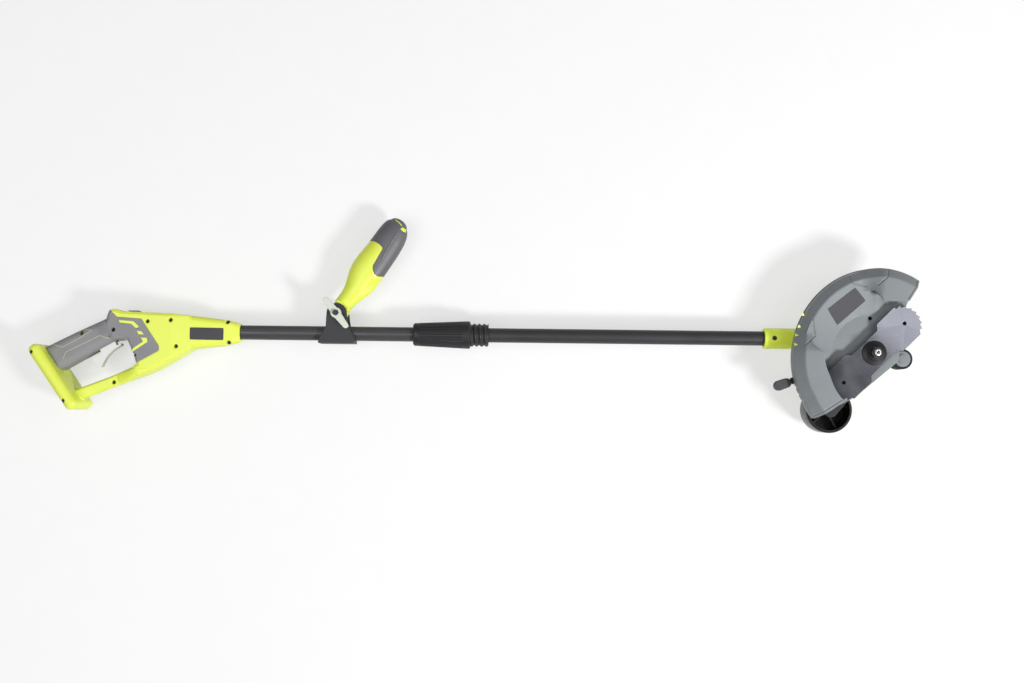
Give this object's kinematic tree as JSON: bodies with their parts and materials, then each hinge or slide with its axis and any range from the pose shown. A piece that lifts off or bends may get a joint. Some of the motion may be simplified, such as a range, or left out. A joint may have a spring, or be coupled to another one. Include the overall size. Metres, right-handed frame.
{
  "type": "lawn edger",
  "caption": "Cordless stick lawn edger with loop handle, adjustable front handle, two-piece shaft, guarded blade, depth wheel and roller.",
  "frame": {"origin": "on the blade axis, on the flat underside of the head casing that lies on the ground", "axes": "+X along the shaft from the rear handle towards the cutting head, +Z along the blade axis, away from the ground"},
  "size_m": [1.346, 0.3255, 0.1205],
  "materials": {
    "lime_plastic": "moulded lime plastic, fine satin texture",
    "soft_grip": "overmoulded soft grey grip",
    "black_plastic": "moulded black plastic",
    "grey_plastic": "moulded light grey plastic",
    "guard_plastic": "moulded grey guard plastic, slightly worn",
    "lever_plastic": "moulded dark grey plastic",
    "gloss_black": "glossy black wheel plastic",
    "black_paint": "satin black powder coat",
    "dark_steel": "black oxide steel",
    "steel": "plain machined steel",
    "blade_steel": "hardened steel with a worn blue-grey coat",
    "alloy": "die-cast plate",
    "ferrite": "ferrite magnet",
    "brass": "plain brass",
    "tyre": "black rubber",
    "lead_sheath": "flexible lead sheath"
  },
  "bodies": {
    "frame": {"housing_near": "lime_plastic", "housing_far": "lime_plastic", "grip_pad_near": "soft_grip", "grip_pad_far": "soft_grip", "housing_screws": "dark_steel", "trigger_spring": "steel", "lock_spring": "steel", "switch_module": "black_plastic", "terminal_block": "black_plastic", "battery_contacts": "brass", "upper_tube": "black_paint", "lower_tube": "black_paint", "upper_lead": "lead_sheath", "lower_lead": "lead_sheath", "lead_plug": "black_plastic", "lead_socket": "black_plastic", "coupling_collar": "black_plastic", "coupling_fitting": "black_plastic", "head_near": "lime_plastic", "head_far": "lime_plastic", "head_screws": "dark_steel", "neck_screw": "dark_steel", "motor_can": "steel", "motor_magnets": "ferrite", "motor_end_bell": "black_plastic", "gear_plate": "alloy", "bearing_lower": "steel", "bearing_upper": "steel", "guard": "guard_plastic", "guard_screws": "dark_steel", "roller_pin": "steel"},
    "trigger": {"trigger": "grey_plastic"},
    "lock_button": {"lock_button": "black_plastic"},
    "slip_ring": {"slip_ring": "steel"},
    "coupling_nut": {"coupling_nut": "black_plastic"},
    "front_bracket": {"handle_bracket": "black_plastic", "handle_bolt": "dark_steel"},
    "front_handle": {"handle_core": "lime_plastic", "handle_grip": "soft_grip"},
    "wing_knob": {"wing_knob": "grey_plastic"},
    "cutter": {"spindle": "steel", "spindle_gear": "steel", "inner_flange": "steel", "blade": "blade_steel", "outer_flange": "black_paint", "arbor_nut": "dark_steel"},
    "rotor": {"motor_armature": "steel", "motor_pinion": "brass"},
    "depth_lever": {"depth_arm": "black_plastic", "lever_grip": "lever_plastic", "wheel_axle": "dark_steel"},
    "rear_wheel": {"wheel": "gloss_black"},
    "front_roller": {"roller_tyre": "tyre", "roller_hub": "grey_plastic"}
  },
  "joints": [
    {"name": "trigger_pull", "type": "slide", "parent": "frame", "child": "trigger", "axis": [-0.4695, 0.8829, 0], "range_m": [0, 0.005], "stiffness_N_per_m": 600, "springref_m": -0.005, "deforming": ["trigger_spring"]},
    {"name": "lock_press", "type": "slide", "parent": "frame", "child": "lock_button", "axis": [0, -1, 0], "range_m": [0, 0.002], "stiffness_N_per_m": 600, "springref_m": -0.004, "deforming": ["lock_spring"]},
    {"name": "coupling_slide", "type": "slide", "parent": "frame", "child": "slip_ring", "axis": [1, 0, 0], "range_m": [-0.0077, 0.0191]},
    {"name": "coupling_turn", "type": "hinge", "parent": "slip_ring", "child": "coupling_nut", "pos_m": [-0.65, 0.0235, 0.04], "axis": [1, 0, 0], "range_deg": [-360, 900]},
    {"name": "bracket_slide", "type": "slide", "parent": "frame", "child": "front_bracket", "axis": [1, 0, 0], "range_m": [-0.08, 0.06]},
    {"name": "handle_tilt", "type": "hinge", "parent": "front_bracket", "child": "front_handle", "pos_m": [-0.811, 0.054, 0.04], "axis": [0, 0, 1], "range_deg": [-20, 50]},
    {"name": "knob_turn", "type": "hinge", "parent": "front_bracket", "child": "wing_knob", "pos_m": [-0.811, 0.054, 0.064], "axis": [0, 0, 1], "range_deg": [0, 180]},
    {"name": "blade_spin", "type": "hinge", "parent": "frame", "child": "cutter", "pos_m": [0, 0, 0.1], "axis": [0, 0, 1], "continuous": true},
    {"name": "motor_spin", "type": "hinge", "parent": "frame", "child": "rotor", "pos_m": [-0.03408, 0.01589, 0.03], "axis": [0, 0, 1], "continuous": true},
    {"name": "depth_set", "type": "hinge", "parent": "frame", "child": "depth_lever", "pos_m": [0, 0, 0.078], "axis": [0, 0, 1], "range_deg": [0, 15]},
    {"name": "wheel_spin", "type": "hinge", "parent": "depth_lever", "child": "rear_wheel", "pos_m": [-0.05891, -0.08571, 0.047], "axis": [0, 0, 1], "continuous": true},
    {"name": "roller_spin", "type": "hinge", "parent": "frame", "child": "front_roller", "pos_m": [0.054, -0.007, 0.05], "axis": [0, 0, 1], "continuous": true}
  ],
  "couplings": [
    {"joint": "coupling_slide", "follows": "coupling_turn", "m_per_rad": 0.00121},
    {"joint": "motor_spin", "follows": "blade_spin", "ratio": -2.5714}
  ]
}
